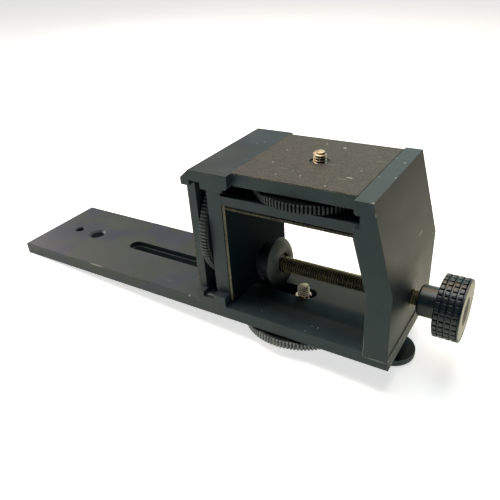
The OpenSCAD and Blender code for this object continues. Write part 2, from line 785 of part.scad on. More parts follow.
module foot_disc() {
    r = foot_d / 2;
    e = foot_edge_r;
    arc = [for (a = [0:15:90]) [r - e + e * cos(a), foot_t - e + e * sin(a)]];
    color("#1f2022") translate([foot_x, 0, foot_z0]) difference() {
        rotate_extrude($fn = round_fn)
            polygon(concat([[0, 0], [r - e / 3, 0], [r, e / 3]], arc, [[0, foot_t]]));
        translate([0, 0, foot_t / 3]) cylinder(h = foot_t, r = stem_d / 2 + run, $fn = round_fn);
    }
}

module foot_stem() {
    color("#6f6d66") translate([foot_x, 0, foot_z0 + foot_t / 3])
        ringed_bar(stem_d / 2, stem_pitch, stem_top - foot_z0 - foot_t / 3);
}

module wall_screws() {
    color("#8b8d8f") place_wall_screws() difference() {
        flat_screw(screw_d, screw_head_d, screw_l);
        drive_cut(screw_d);
    }
}

module upright_screws() {
    color("#8b8d8f") place_upright_screws() difference() {
        flat_screw(screw_d, screw_head_d, screw_l);
        drive_cut(screw_d);
    }
}

module lower_wall_screws() {
    color("#8b8d8f") place_lower_wall_screws() difference() {
        flat_screw(small_screw_d, small_head_d, small_screw_l);
        drive_cut(small_screw_d);
    }
}

module lower_wall_pins() {
    color("#97999b") lower_wall_pin_shapes();
}

module top_plate_pins() {
    color("#97999b") top_plate_pin_shapes();
}

module corner_pins() {
    color("#97999b") corner_pin_shapes();
}

module side_plate_pins() {
    color("#97999b") side_plate_pin_shapes();
}

rail();
foot_block();
right_upright();
corner_strip();
side_plate();
inner_wall();
lower_wall();
top_plate();
top_pad();
side_pad();
throat_side_pad();
throat_top_pad();
top_wheel();
top_screw();
side_wheel();
side_screw();
rail_wheel();
rail_screw();
rail_clip();
clamp_rod();
pressure_disc();
disc_ring();
knob_hub();
knob_grip();
knob_face();
hub_grub_screw();
foot_disc();
foot_stem();
wall_screws();
upright_screws();
lower_wall_screws();
lower_wall_pins();
top_plate_pins();
corner_pins();
side_plate_pins();
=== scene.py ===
# Looks of the tripod mounting rail: black anodised panels, knurled wheels, threaded screws, knob and pads.
# In the dictionaries lengths are in millimetres, turned to metres where they are used, and angles in degrees.
import json
import math

import bmesh
import bpy
from mathutils import Euler, Matrix, Vector


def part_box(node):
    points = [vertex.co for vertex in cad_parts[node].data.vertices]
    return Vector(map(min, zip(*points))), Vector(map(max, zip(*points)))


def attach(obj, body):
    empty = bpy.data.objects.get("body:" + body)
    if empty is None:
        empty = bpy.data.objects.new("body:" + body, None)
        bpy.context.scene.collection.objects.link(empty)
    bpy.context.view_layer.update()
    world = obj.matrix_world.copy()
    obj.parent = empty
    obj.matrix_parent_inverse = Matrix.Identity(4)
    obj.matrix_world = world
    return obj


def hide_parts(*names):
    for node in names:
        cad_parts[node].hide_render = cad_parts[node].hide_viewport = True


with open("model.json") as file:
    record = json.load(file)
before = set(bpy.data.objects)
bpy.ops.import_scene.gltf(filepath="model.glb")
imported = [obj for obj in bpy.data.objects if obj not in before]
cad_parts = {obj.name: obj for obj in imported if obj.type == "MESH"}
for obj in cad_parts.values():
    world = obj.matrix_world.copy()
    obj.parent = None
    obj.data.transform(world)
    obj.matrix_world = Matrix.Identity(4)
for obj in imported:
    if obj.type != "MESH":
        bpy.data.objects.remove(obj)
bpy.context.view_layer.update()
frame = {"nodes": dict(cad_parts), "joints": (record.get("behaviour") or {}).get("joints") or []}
mm = 0.001
fullTurn = 2 * math.pi
print("frame loaded:", len(frame["nodes"]), "nodes")


# Camera: the photograph's place and lens, worked out from its measured points
camera = {
    "place": (258.40, -209.34, 171.58),
    "turn": (59.632, 3.684, 31.575),
    "lens": 39.393,
    "sensor": 36.0,
    "clipFrom": 10.0,
}


def makeCamera(values):
    data = bpy.data.cameras.new("studioCamera")
    data.sensor_width = values["sensor"]
    data.lens = values["lens"]
    data.clip_start = values["clipFrom"] * mm
    made = bpy.data.objects.new("studioCamera", data)
    made.location = Vector(values["place"]) * mm
    made.rotation_euler = Euler([math.radians(a) for a in values["turn"]])
    bpy.context.scene.collection.objects.link(made)
    bpy.context.scene.camera = made


makeCamera(camera)


def hexToLinear(code):
    parts = [int(code[i:i + 2], 16) / 255 for i in (1, 3, 5)]
    return tuple(c / 12.92 if c <= 0.04045 else ((c + 0.055) / 1.055) ** 2.4 for c in parts) + (1.0,)


# Adds one node, a shader node unless its kind says otherwise, with its settings; an input takes a value, a
# hex colour, a socket, or a node, whose first live output is meant
def addNode(tree, kind, inputs=None, **settings):
    node = tree.nodes.new(kind if "Node" in kind else "ShaderNode" + kind)
    for key, value in settings.items():
        setattr(node, key, value)
    for key, value in (inputs or {}).items():
        live = [s for s in node.inputs if s.enabled]
        socket = live[key] if isinstance(key, int) else next(s for s in live if s.name == key)
        if isinstance(value, bpy.types.Node):
            value = next(s for s in value.outputs if s.enabled)
        if isinstance(value, bpy.types.NodeSocket):
            tree.links.new(value, socket)
        else:
            socket.default_value = hexToLinear(value) if isinstance(value, str) else value
    return node


def newMaterial(name):
    made = bpy.data.materials.new(name)
    made.use_nodes = True
    tree = made.node_tree
    tree.nodes.clear()
    return made, tree, addNode(tree, "TexCoord").outputs["Object"]


# Material end: a principled surface
def endMaterial(made, tree, inputs):
    shader = addNode(tree, "BsdfPrincipled", inputs)
    addNode(tree, "OutputMaterial", {"Surface": shader})
    return made


# The scale of a pattern whose grains have this size in millimetres
def perMetre(size):
    return 1 / (size * mm)


# Inputs of a Map Range node: the span of values it takes, and what their ends become
def mapped(value, span, ends=(0.0, 1.0)):
    return {"Value": value, "From Min": span[0], "From Max": span[1], "To Min": ends[0], "To Max": ends[1]}


# Soft clouds of a second colour over a first; it comes in over this span of the noise, up to its share
def paintClouds(tree, place, first, second, size, span, detail=4.0, grit=0.5, share=1.0):
    noise = addNode(tree, "TexNoise", {
        "Vector": place, "Scale": perMetre(size), "Detail": detail, "Roughness": grit})
    tone = addNode(tree, "MapRange", mapped(noise, span, (0.0, share)))
    return noise, addNode(tree, "Mix", {"Factor": tone, "A": first, "B": second}, data_type="RGBA")


# Fine scratches over a base, drawn out along X and turned by their slant
def paintScratches(tree, place, base, paint, size, stretch, slant, span, share):
    drawn = addNode(tree, "Mapping", {
        "Vector": place, "Rotation": (0, 0, math.radians(slant)), "Scale": (stretch, 1.0, 1.0)})
    lines = addNode(tree, "TexNoise", {"Vector": drawn, "Scale": perMetre(size), "Detail": 1.0})
    tone = addNode(tree, "MapRange", mapped(lines, span, (0.0, share)))
    return addNode(tree, "Mix", {"Factor": tone, "A": base, "B": paint}, data_type="RGBA")


# Placed marks: full within a share of their reach, gone beyond another, with ragged rims between
markRim = {
    "full": 0.6,
    "gone": 1.2,
    "grain": 0.9,
    "farOff": 9.0,
}


# Each mark is a centre and three half lengths; inside any of them the result is the strength
def makeMarks(tree, place, marks, ragged, strength=1.0):
    nearest = markRim["farOff"]
    for centre, reach in marks:
        scaled = addNode(tree, "VectorMath", {
            0: place, 1: [perMetre(r) for r in reach], 2: [-c / r for c, r in zip(centre, reach)]},
            operation="MULTIPLY_ADD")
        away = addNode(tree, "VectorMath", {0: scaled}, operation="LENGTH")
        nearest = addNode(tree, "Math", {0: away, 1: nearest}, operation="MINIMUM")
    spots = addNode(tree, "TexNoise", {"Vector": place, "Scale": perMetre(markRim["grain"]), "Detail": 3.0})
    uneven = addNode(tree, "Math", {0: spots, 1: 2 * ragged, 2: nearest}, operation="MULTIPLY_ADD")
    rim = (markRim["gone"] + ragged, markRim["full"] + ragged)
    return addNode(tree, "MapRange", mapped(uneven, rim, (0.0, strength)))


# Flecks over a base: round ones in the few cells that are rare enough, and the placed marks
def paintFlecks(tree, place, base, paint, marks, spacing, reach, rare, ragged, strength):
    cells = addNode(tree, "TexVoronoi", {"Vector": place, "Scale": perMetre(spacing)})
    picked = addNode(tree, "SeparateColor", {"Color": cells.outputs["Color"]})
    size = addNode(tree, "Math", {0: picked.outputs["Green"], 1: reach}, operation="MULTIPLY")
    near = addNode(tree, "Math", {0: cells, 1: size}, operation="LESS_THAN")
    chosen = addNode(tree, "Math", {0: picked, 1: rare}, operation="GREATER_THAN")
    fleck = addNode(tree, "Math", {0: near, 1: chosen}, operation="MULTIPLY")
    placed = makeMarks(tree, place, marks, ragged, strength)
    both = addNode(tree, "Math", {0: fleck, 1: placed}, operation="MAXIMUM")
    return addNode(tree, "Mix", {"Factor": both, "A": base, "B": paint}, data_type="RGBA")


# The fine tooth of a surface as a bump, drawn coarser than it really is so that it shows
def makeTooth(tree, place, size, strength, height):
    grain = addNode(tree, "TexNoise", {"Vector": place, "Scale": perMetre(size), "Detail": 2.0})
    return addNode(tree, "Bump", {"Height": grain, "Strength": strength, "Distance": height * mm})


# Black anodised aluminium, extruded and bead blasted: the dyed oxide is a dark satin skin whose blasted grain
# scatters the light to grey; rubbing leaves paler clouds, short lengthwise scratches and a few bare specks
anodised = {
    "skin": "#2A383B",
    "rubbed": "#374447",
    "bare": "#A3A39D",
    "roughness": (0.36, 0.56),
    "specular": 0.4,
    "clouds": {"size": 16.0, "span": (0.38, 0.66), "detail": 5.0},
    "lilac": "#3A3A4C",
    "beige": "#40423C",
    "haze": {"size": 22.0, "span": (0.44, 0.56), "detail": 3.0},
    "hazeAlong": (60, 130),     # strong at the bar's left end, it fades between these places
    "hazeShares": (0.6, 0.1),
    "tooth": {"size": 0.5, "strength": 0.2, "height": 0.06},
    "scratches": {"size": 7 / 6, "stretch": 0.07, "slant": 0, "span": (0.77, 0.82), "share": 0.3},
    "flecks": {"spacing": 12.0, "reach": 0.05, "rare": 0.86, "ragged": 0.5, "strength": 0.8},
    # the thin light lines at the upright's foot and the spots round the rod's exit are partly worn metal,
    # partly painted highlight
    "marks": [
        ((118.9, 13.0, 79.6), (0.4, 0.4, 0.3)), ((121.9, 15.8, 79.6), (0.5, 0.3, 0.3)),
        ((188.2, 19.0, 79.6), (0.4, 0.4, 0.3)), ((187.9, 9.5, 79.6), (0.3, 0.4, 0.3)),
        ((193.3, 14.6, 79.6), (0.5, 0.6, 0.3)), ((195.1, -2.6, 79.6), (0.6, 0.6, 0.4)),
        ((188.4, -4.2, 79.6), (0.4, 0.4, 0.3)), ((195.3, -28.6, 79.5), (0.8, 0.8, 0.5)),
        ((196.7, -29.2, 74.8), (0.4, 0.3, 0.9)), ((203.5, 13.8, 47.6), (0.7, 3.2, 0.5)),
        ((205.3, 29.3, 40.2), (0.5, 0.6, 0.6)), ((28.0, -29.0, 6.9), (5.5, 0.4, 0.4)),
        ((97.4, -29.0, 6.7), (0.6, 0.5, 0.6)), ((139.0, -23.8, 6.9), (0.4, 0.3, 0.3)),
        ((166.4, -23.3, 6.9), (0.5, 0.3, 0.3)), ((169.5, -23.3, 6.9), (0.4, 0.6, 0.3)),
        ((165.1, -28.1, 6.9), (0.4, 0.3, 0.3)), ((205.5, 7.9, 22.1), (0.4, 0.5, 1.1)),
        ((205.5, -0.4, 16.5), (0.4, 0.6, 0.5)), ((205.5, 5.5, 14.4), (0.4, 1.3, 0.5)),
        ((200.0, -29.2, 4.0), (6.0, 0.3, 0.3)), ((194.2, -29.1, 10.0), (0.3, 0.4, 6.0)),
        ((205.9, -29.1, 7.5), (0.3, 0.4, 3.2)), ((109.5, -26.4, 9.5), (3.6, 0.7, 0.2)),
    ],
}


def makeAnodised(name, values):
    made, tree, place = newMaterial(name)
    cloud, dyed = paintClouds(tree, place, values["skin"], values["rubbed"], **values["clouds"])
    _, hazed = paintClouds(tree, place, values["lilac"], values["beige"], **values["haze"])
    along = addNode(tree, "SeparateXYZ", {"Vector": place})
    faded = addNode(tree, "MapRange", mapped(
        along, [c * mm for c in values["hazeAlong"]], values["hazeShares"]))
    skin = addNode(tree, "Mix", {"Factor": faded, "A": dyed, "B": hazed}, data_type="RGBA")
    scratched = paintScratches(tree, place, skin, values["bare"], **values["scratches"])
    colour = paintFlecks(tree, place, scratched, values["bare"], values["marks"], **values["flecks"])
    rough = addNode(tree, "MapRange", mapped(cloud, (0.0, 1.0), values["roughness"]))
    return endMaterial(made, tree, {
        "Base Color": colour, "Roughness": rough, "Normal": makeTooth(tree, place, **values["tooth"]),
        "Specular IOR Level": values["specular"]})


# Worn edges of the same aluminium: the dye is rubbed off in short stretches, so bare metal glints between
# dark ones; the lower the span starts, the barer the edge
wornEdges = {
    "patches": {"size": 5.0, "detail": 6.0},
    "roughness": 0.4,
    "edge": {"dark": "#3F4345", "bare": "#8B8D88", "span": (0.5, 0.64)},
    # lip: painted light, a paler edge so that the lip shows light in the upright's shadow
    "lip": {"dark": "#6A6C69", "bare": "#8B8D88", "span": (0.45, 0.59)},
}


def makeWornEdge(name, dark, bare, span):
    made, tree, place = newMaterial(name)
    _, colour = paintClouds(tree, place, dark, bare, span=span, **wornEdges["patches"])
    return endMaterial(made, tree, {"Base Color": colour, "Roughness": wornEdges["roughness"]})


# Grip pad: thin pressed rubber and cork sheet, fine leathery grain, dull; use has scratched it and left pale
# flecks, and along its right end, where it meets the upright, a dark line is painted: shade in the gap and
# dirt
gripPad = {
    "brown": "#3F3933",
    "green": "#2A2E2B",
    "worn": "#76726A",
    "fleck": "#DAD8CE",
    "roughness": 0.6,
    "mottle": {"size": 5.0, "span": (0.36, 0.64), "detail": 6.0, "grit": 0.7},
    "leather": {"size": 0.8, "span": (0.42, 0.62), "detail": 3.0, "grit": 0.8, "share": 0.32},
    "leatherBump": {"Strength": 0.5, "Distance": 0.15 * mm},
    "scratches": {"size": 1.2, "stretch": 0.1, "slant": 20, "span": (0.74, 0.80), "share": 0.2},
    "flecks": {"spacing": 8.0, "reach": 0.1, "rare": 0.8, "ragged": 0.6, "strength": 0.6},
    "marks": [
        ((137.6, 9.8, 79.6), (0.4, 0.4, 0.3)), ((139.0, -6.3, 79.6), (0.6, 0.3, 0.3)),
        ((157.7, -16.0, 79.6), (0.4, 0.5, 0.3)), ((171.8, -21.3, 79.6), (0.4, 0.4, 0.3)),
        ((162.0, 22.3, 79.6), (0.8, 0.7, 0.3)), ((177.9, -9.8, 79.6), (1.6, 0.35, 0.3)),
        ((179.5, -1.0, 79.6), (0.5, 0.3, 0.3)), ((151.8, 24.3, 79.6), (0.6, 0.4, 0.3)),
        ((147.0, -18.0, 79.6), (0.3, 0.3, 0.3)), ((152.0, -12.0, 79.6), (0.3, 0.3, 0.3)),
    ],
    # painted shade and dirt: the dark line in the gap at the pad's right end
    "shadedGap": [((187.6, 0, 79.6), (0.55, 900, 900))],
    "padGapShade": "#121311",
    "padGapRagged": 0.1,
}


def makeGripPad(name, values):
    made, tree, place = newMaterial(name)
    _, patchy = paintClouds(tree, place, values["green"], values["brown"], **values["mottle"])
    leather, sheet = paintClouds(tree, place, patchy, values["worn"], **values["leather"])
    scratched = paintScratches(tree, place, sheet, values["fleck"], **values["scratches"])
    flecked = paintFlecks(tree, place, scratched, values["fleck"], values["marks"], **values["flecks"])
    shadedGap = makeMarks(tree, place, values["shadedGap"], values["padGapRagged"])
    colour = addNode(tree, "Mix", {"Factor": shadedGap, "A": flecked, "B": values["padGapShade"]}, data_type="RGBA")
    bump = addNode(tree, "Bump", {"Height": leather, **values["leatherBump"]})
    return endMaterial(made, tree, {"Base Color": colour, "Roughness": values["roughness"], "Normal": bump})


# Rubber-bonded cork: a lining's face is dark, with the teal of the throat's shade painted in, a knife-cut
# edge shows beige grit, and a dark line of painted shade, with dirt at the grip pad, runs along it where it
# meets the part it lines
cork = {
    "grains": {"size": 0.9, "span": (0.4, 0.68), "grit": 0.7},
    "grainBump": {"Strength": 0.4, "Distance": 0.12 * mm},
    # painted shade: the dark line where a lining meets the part it lines
    "liningGapShade": "#0B0B0A",
    "liningGapRagged": 0.1,
    "specular": 0.12,
    "pieces": {
        "gripPadCutEdge": {"base": "#55564F", "beige": "#8C8A7C", "shadedGap": gripPad["shadedGap"]},
        # the lining's dark cork face, with the teal of the throat's shade painted in
        "throatLiningFacePaintedShade": {"base": "#0C1F26", "beige": "#132A31", "shadedGap": [], "roughness": 0.9},
        "wallLiningCutEdge": {"base": "#6B6454", "beige": "#A39C8A",
                              "shadedGap": [((120.6, 0, 40), (0.75, 900, 900))]},
        "ceilingLiningCutEdge": {"base": "#3A362D", "beige": "#837B69",
                                 "shadedGap": [((150, 0, 62.4), (900, 900, 1.1))]},
    },
}


def makeCork(name, base, beige, shadedGap, roughness=0.8):
    made, tree, place = newMaterial(name)
    grains, gritty = paintClouds(tree, place, base, beige, **cork["grains"])
    gapShaded = makeMarks(tree, place, shadedGap, cork["liningGapRagged"])
    colour = addNode(tree, "Mix", {"Factor": gapShaded, "A": gritty, "B": cork["liningGapShade"]}, data_type="RGBA")
    bump = addNode(tree, "Bump", {"Height": grains, **cork["grainBump"]})
    return endMaterial(made, tree, {
        "Base Color": colour, "Roughness": roughness, "Normal": bump, "Specular IOR Level": cork["specular"]})


# Turned and plated metals: oil and handling leave soft stains and make the gloss uneven. A dyed skin hides
# most of the metal, so it is hardly metallic. Shine is a faint glow in the metal's own colour, a painted
# reflection.
metals = {
    "stainSpan": (0.38, 0.66),
    "roughSpread": 0.1,
    "tooth": {"size": 0.3, "strength": 0.15, "height": 0.03},
    "pieces": {
        # dyed ribs with soft satin glints; lit and shaded copies: painted shade on the top wheel and wheel
        # faces, painted light below the bar
        "blackAnodisedKnurl": {"colour": "#474D4D", "stain": "#585D5D", "roughness": 0.42},
        "blackAnodisedKnurlPaintedShade": {"colour": "#1D2224", "stain": "#2A2E30", "roughness": 0.4},
        "blackAnodisedKnurlPaintedLight": {"colour": "#868B8F", "stain": "#9E9E98", "roughness": 0.42},
        # painted shade: dyed faces in deep shade get dull, nearly lightless copies of the dye
        "blackAnodisedWheelFacePaintedShade": {"colour": "#0A0D0E", "stain": "#101314", "roughness": 0.9, "metallic": 0.0,
                                   "stainSize": 5.0, "specular": 0.05},
        "blackAnodisedSlotWallPaintedShade": {"colour": "#26343A", "stain": "#2E3B3E", "roughness": 0.9, "metallic": 0.0,
                                  "specular": 0.1},
        # turned and dyed: smooth black with a broad soft sheen
        "blackTurnedAluminium": {"colour": "#33393B", "stain": "#3D4446", "roughness": 0.4, "stainSize": 5.0},
        "satinTurnedAluminium": {"colour": "#182023", "stain": "#262C2E", "roughness": 0.33, "metallic": 0.0,
                                 "stainSize": 5.0, "specular": 0.6},
        # thread bottoms, darkened as painted shade in the hollows: dark oil with it on steel, brown on brass
        "oiledThreadGroovePaintedShade": {"colour": "#1A1710", "stain": "#100E0A", "roughness": 0.5, "metallic": 0.0},
        "brassGroovePaintedShade": {"colour": "#6E5433", "stain": "#4F3B22", "roughness": 0.5, "metallic": 0.3},
        # handled brass: pale warm yellow
        "turnedBrass": {"colour": "#DCCBB2", "stain": "#BFA684", "roughness": 0.32, "metallic": 0.5},
        # nickel plate: cream white, with a faint glow that is a painted reflection of the bright room it
        # mirrors
        "nickelledBrass": {"colour": "#FFF0D2", "stain": "#DCCCA8", "roughness": 0.35, "metallic": 0.2,
                           "shine": 0.06},
        "nickelledSteel": {"colour": "#FFF8E8", "stain": "#D0C4A4", "roughness": 0.36, "metallic": 0.3,
                           "stainSize": 1.2, "shine": 0.16},
        # chemically browned steel under oil: olive bronze on the thread's crests
        "brownedSteel": {"colour": "#A99C74", "stain": "#8C8060", "roughness": 0.32, "metallic": 0.45,
                         "stainSize": 7.0},
        # zinc plate: cool grey screws and pins
        "zincPlatedSteel": {"colour": "#B9BBBD", "stain": "#8F9194", "roughness": 0.35, "metallic": 1.0},
    },
}


def makeMetal(name, colour, stain, roughness, metallic=0.1, stainSize=2.5, specular=0.5, shine=0.0):
    made, tree, place = newMaterial(name)
    spots, stained = paintClouds(tree, place, colour, stain, stainSize, metals["stainSpan"])
    rough = addNode(tree, "MapRange", mapped(
        spots, (0.0, 1.0), (roughness - metals["roughSpread"], roughness + metals["roughSpread"])))
    # the emission of shine is a painted reflection
    return endMaterial(made, tree, {
        "Base Color": stained, "Roughness": rough, "Metallic": metallic,
        "Normal": makeTooth(tree, place, **metals["tooth"]),
        "Specular IOR Level": specular, "Emission Color": colour, "Emission Strength": shine})


# Moulded plastic (ABS): even colour, soft gloss, very fine spark-eroded texture, dust in soft patches
plastics = {
    "dust": {"size": 4.0, "span": (0.45, 0.75), "detail": 5.0},
    "tooth": {"size": 0.35, "strength": 0.2, "height": 0.05},
    "pieces": {
        # the knob's grip is glossy with handling; the foot is matt, with painted shade darkening its top and
        # a painted grey highlight at its rim
        "blackMouldedPlastic": {"colour": "#142026", "dust": "#34362F", "roughness": 0.33, "specular": 0.7},
        "blackFootPlastic": {"colour": "#3C5055", "dust": "#4C5E60"},
        "blackFootPlasticPaintedShadeTop": {"colour": "#12191B", "dust": "#1E2628", "roughness": 0.6},
        "footPlasticPaintedHighlightRim": {"colour": "#6F7674", "dust": "#3A4142"},
        # the knob's end disc is creamy, and the recess behind it is the same plastic darkened grey-brown by
        # painted shade, with clouds of dust
        "paleMouldedPlastic": {"colour": "#F6F0E2", "dust": "#D8CFBC", "dustShare": 0.8},
        "palePlasticRecessPaintedShade": {"colour": "#77705F", "dust": "#5B5546", "roughness": 0.7, "dustShare": 0.8},
    },
}


def makePlastic(name, colour, dust, roughness=0.5, dustShare=0.5, specular=0.5):
    made, tree, place = newMaterial(name)
    _, dusty = paintClouds(tree, place, colour, dust, share=dustShare, **plastics["dust"])
    return endMaterial(made, tree, {
        "Base Color": dusty, "Roughness": roughness, "Normal": makeTooth(tree, place, **plastics["tooth"]),
        "Specular IOR Level": specular})


# The swivel disc's domed flange: painted light and shade, pale above and dark below as the light falls, with
# an uneven border between
paintedLightDome = {
    "pale": "#9A9E9A",
    "shadedBelow": "#1A2326",
    "heights": (13.0, 30.0),
    "borderSize": 6.0,
    "borderDepth": 6.0,
    "roughness": 0.5,
    "specular": 0.2,
}


def makePaintedLightDome(name, values):
    made, tree, place = newMaterial(name)
    height = addNode(tree, "SeparateXYZ", {"Vector": place}).outputs["Z"]
    spots = addNode(tree, "TexNoise", {"Vector": place, "Scale": perMetre(values["borderSize"]), "Detail": 3.0})
    borderWobble = values["borderDepth"] * mm
    uneven = addNode(tree, "Math", {0: spots, 1: borderWobble, 2: height}, operation="MULTIPLY_ADD")
    tone = addNode(tree, "MapRange", mapped(uneven, [h * mm for h in values["heights"]]),
                   interpolation_type="SMOOTHSTEP")
    colour = addNode(tree, "Mix", {
        "Factor": tone, "A": values["shadedBelow"], "B": values["pale"]}, data_type="RGBA")
    return endMaterial(made, tree, {
        "Base Color": colour, "Roughness": values["roughness"], "Specular IOR Level": values["specular"]})


blackAnodised = makeAnodised("blackAnodisedAluminium", anodised)
wornEdge = makeWornEdge("rubbedAnodisedEdge", **wornEdges["edge"])
# painted light: a paler edge for the lip's slope
paintedLightLip = makeWornEdge("paintedLightAnodisedLip", **wornEdges["lip"])
gripSheet = makeGripPad("gripPadRubberCork", gripPad)
# painted light and shade on the dome
domeSkin = makePaintedLightDome("blackTurnedAluminiumPaintedLight", paintedLightDome)
corkSheet = {name: makeCork(name, **values) for name, values in cork["pieces"].items()}
metal = {name: makeMetal(name, **values) for name, values in metals["pieces"].items()}
plastic = {name: makePlastic(name, **values) for name, values in plastics["pieces"].items()}
print("materials made:", len(bpy.data.materials))


def addObject(name, mesh):
    made = bpy.data.objects.new(name, mesh)
    bpy.context.scene.collection.objects.link(made)
    return made


# Turns an object's live modifiers into its plain mesh
def settle(made):
    graph = bpy.context.evaluated_depsgraph_get()
    mesh = bpy.data.meshes.new_from_object(made.evaluated_get(graph))
    made.modifiers.clear()
    made.data = mesh
    return made


def dress(made, body, nodes):
    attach(made, body)
    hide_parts(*nodes)


# Paints the faces that pass a test on their centre, in millimetres, and their normal
def paintFaces(made, material, test):
    if material.name not in made.data.materials:
        made.data.materials.append(material)
    index = made.data.materials.find(material.name)
    for face in made.data.polygons:
        if test(face.center / mm, face.normal):
            face.material_index = index


# Edges of the CAD copies: corners closer than merge are joined, folds flatter than flatFold taken out, and
# outer edges past outerFold rounded. Bends look sharp past sharpFold, or past wideFold between wide faces
edgeWork = {
    "merge": 0.001,
    "flatFold": 0.8,
    "outerFold": 28.0,
    "segments": 2,
    "wideArea": 200.0,
    "wideFold": 5.0,
    "sharpFold": 40.0,
}


# A copy of a CAD node, its outer edges rounded in the edge material; edges wholly below roundAbove stay
# square, and so do those of a lip, whose top corners are lowered
def refine(node, name, bevel, main, edge, roundAbove=-1.0, lip=None):
    shape = bmesh.new()
    shape.from_mesh(frame["nodes"][node].data)
    bmesh.ops.remove_doubles(shape, verts=shape.verts, dist=edgeWork["merge"] * mm)
    bmesh.ops.dissolve_limit(shape, angle_limit=math.radians(edgeWork["flatFold"]),
                             verts=shape.verts, edges=shape.edges)
    atLip = []
    if lip:
        for corner in shape.verts:
            if corner.co.x > lip["from"] * mm and corner.co.z > lip["above"] * mm:
                corner.co.z -= lip["drop"] * mm
        atLip = [v for v in shape.verts
                 if v.co.x > lip["squareFrom"] * mm and v.co.z > lip["squareAbove"] * mm]
    outer = [e for e in shape.edges
             if len(e.link_faces) == 2 and e.calc_face_angle_signed(0) > math.radians(edgeWork["outerFold"])
             and max(v.co.z for v in e.verts) > roundAbove * mm and not all(v in atLip for v in e.verts)]
    bmesh.ops.bevel(shape, geom=outer, offset=bevel * mm, segments=edgeWork["segments"], profile=0.5,
                    affect="EDGES", material=1, clamp_overlap=True)
    for face in shape.faces:
        face.smooth = True
    for e in shape.edges:
        wide = all(side.calc_area() > edgeWork["wideArea"] * mm * mm for side in e.link_faces)
        fold = e.calc_face_angle(0.0) if len(e.link_faces) == 2 else 0.0
        e.smooth = fold < math.radians(edgeWork["wideFold"] if wide else edgeWork["sharpFold"])
    mesh = bpy.data.meshes.new(name)
    shape.to_mesh(mesh)
    shape.free()
    mesh.materials.append(main)
    mesh.materials.append(edge)
    made = addObject(name, mesh)
    made.modifiers.new("evenNormals", "WEIGHTED_NORMAL").keep_sharp = True
    return settle(made)


# Steps round a turned shape, fewer for the slim screws, and the angles past which its edges stay sharp
turning = {
    "steps": 160,
    "screwSteps": 96,
    "sharpFold": 32,
    "threadSharpFold": 50,
}


# A turned shape: an outline of (radius, height) in millimetres, spun round the Z axis; shut closes a ring
def turned(name, points, material, shut=False, steps=turning["steps"]):
    shape = bmesh.new()
    rings = []
    for radius, height in points:
        count = steps if radius > 0 else 1
        rings.append([shape.verts.new((radius * mm * math.cos(fullTurn * i / steps),
                                       radius * mm * math.sin(fullTurn * i / steps), height * mm))
                      for i in range(count)])
    if shut:
        rings.append(rings[0])
    for low, high in zip(rings, rings[1:]):
        for i in range(steps):
            after = i + 1
            corners = [low[i % len(low)], low[after % len(low)], high[after % len(high)], high[i % len(high)]]
            unique = list(dict.fromkeys(corners))
            if len(unique) > 2:
                shape.faces.new(unique)
    bmesh.ops.recalc_face_normals(shape, faces=shape.faces)
    for face in shape.faces:
        face.smooth = True
    mesh = bpy.data.meshes.new(name)
    shape.to_mesh(mesh)
    shape.free()
    mesh.materials.append(material)
    mesh.set_sharp_from_angle(angle=math.radians(turning["sharpFold"]))
    return addObject(name, mesh)


# Where turned pieces belong: on their joint's axis, with their heights counted from the node's near end
def axisPlace(jointName, node):
    joint = next(joint for joint in frame["joints"] if joint["name"] == jointName)
    place, along = Vector(joint["pos_m"]), Vector(joint["axis"])
    nearEnd = min((corner - place).dot(along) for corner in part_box(node))
    return place + along * nearEnd, math.atan2(along.x, along.z)


# Puts finished pieces there, in the mesh itself
def putAt(pieces, place, tilt):
    for made in pieces:
        made.data.transform(Matrix.Translation(place) @ Matrix.Rotation(tilt, 4, "Y"))


# Geometry Nodes start: a tree with a geometry input and output and named number inputs
def newTree(name, numbers):
    tree = bpy.data.node_groups.new(name, "GeometryNodeTree")
    tree.interface.new_socket("Geometry", in_out="INPUT", socket_type="NodeSocketGeometry")
    for label, kind in numbers.items():
        tree.interface.new_socket(label, in_out="INPUT", socket_type="NodeSocket" + kind)
    tree.interface.new_socket("Material", in_out="INPUT", socket_type="NodeSocketMaterial")
    tree.interface.new_socket("Geometry", in_out="OUTPUT", socket_type="NodeSocketGeometry")
    return tree, addNode(tree, "NodeGroupInput").outputs


# Geometry Nodes end: the shape made real, in its material
def endTree(tree, shape, material):
    solid = addNode(tree, "GeometryNodeRealizeInstances", {"Geometry": shape})
    painted = addNode(tree, "GeometryNodeSetMaterial", {"Geometry": solid, "Material": material})
    addNode(tree, "NodeGroupOutput", {"Geometry": painted})
    return tree


# Runs a tree on an object with its named inputs, and keeps the result as a plain mesh
def runTree(made, tree, values):
    modifier = made.modifiers.new(tree.name, "NODES")
    modifier.node_group = tree
    for item in tree.interface.items_tree:
        if item.in_out == "INPUT" and item.name in values:
            modifier[item.identifier] = values[item.name]
    return settle(made)


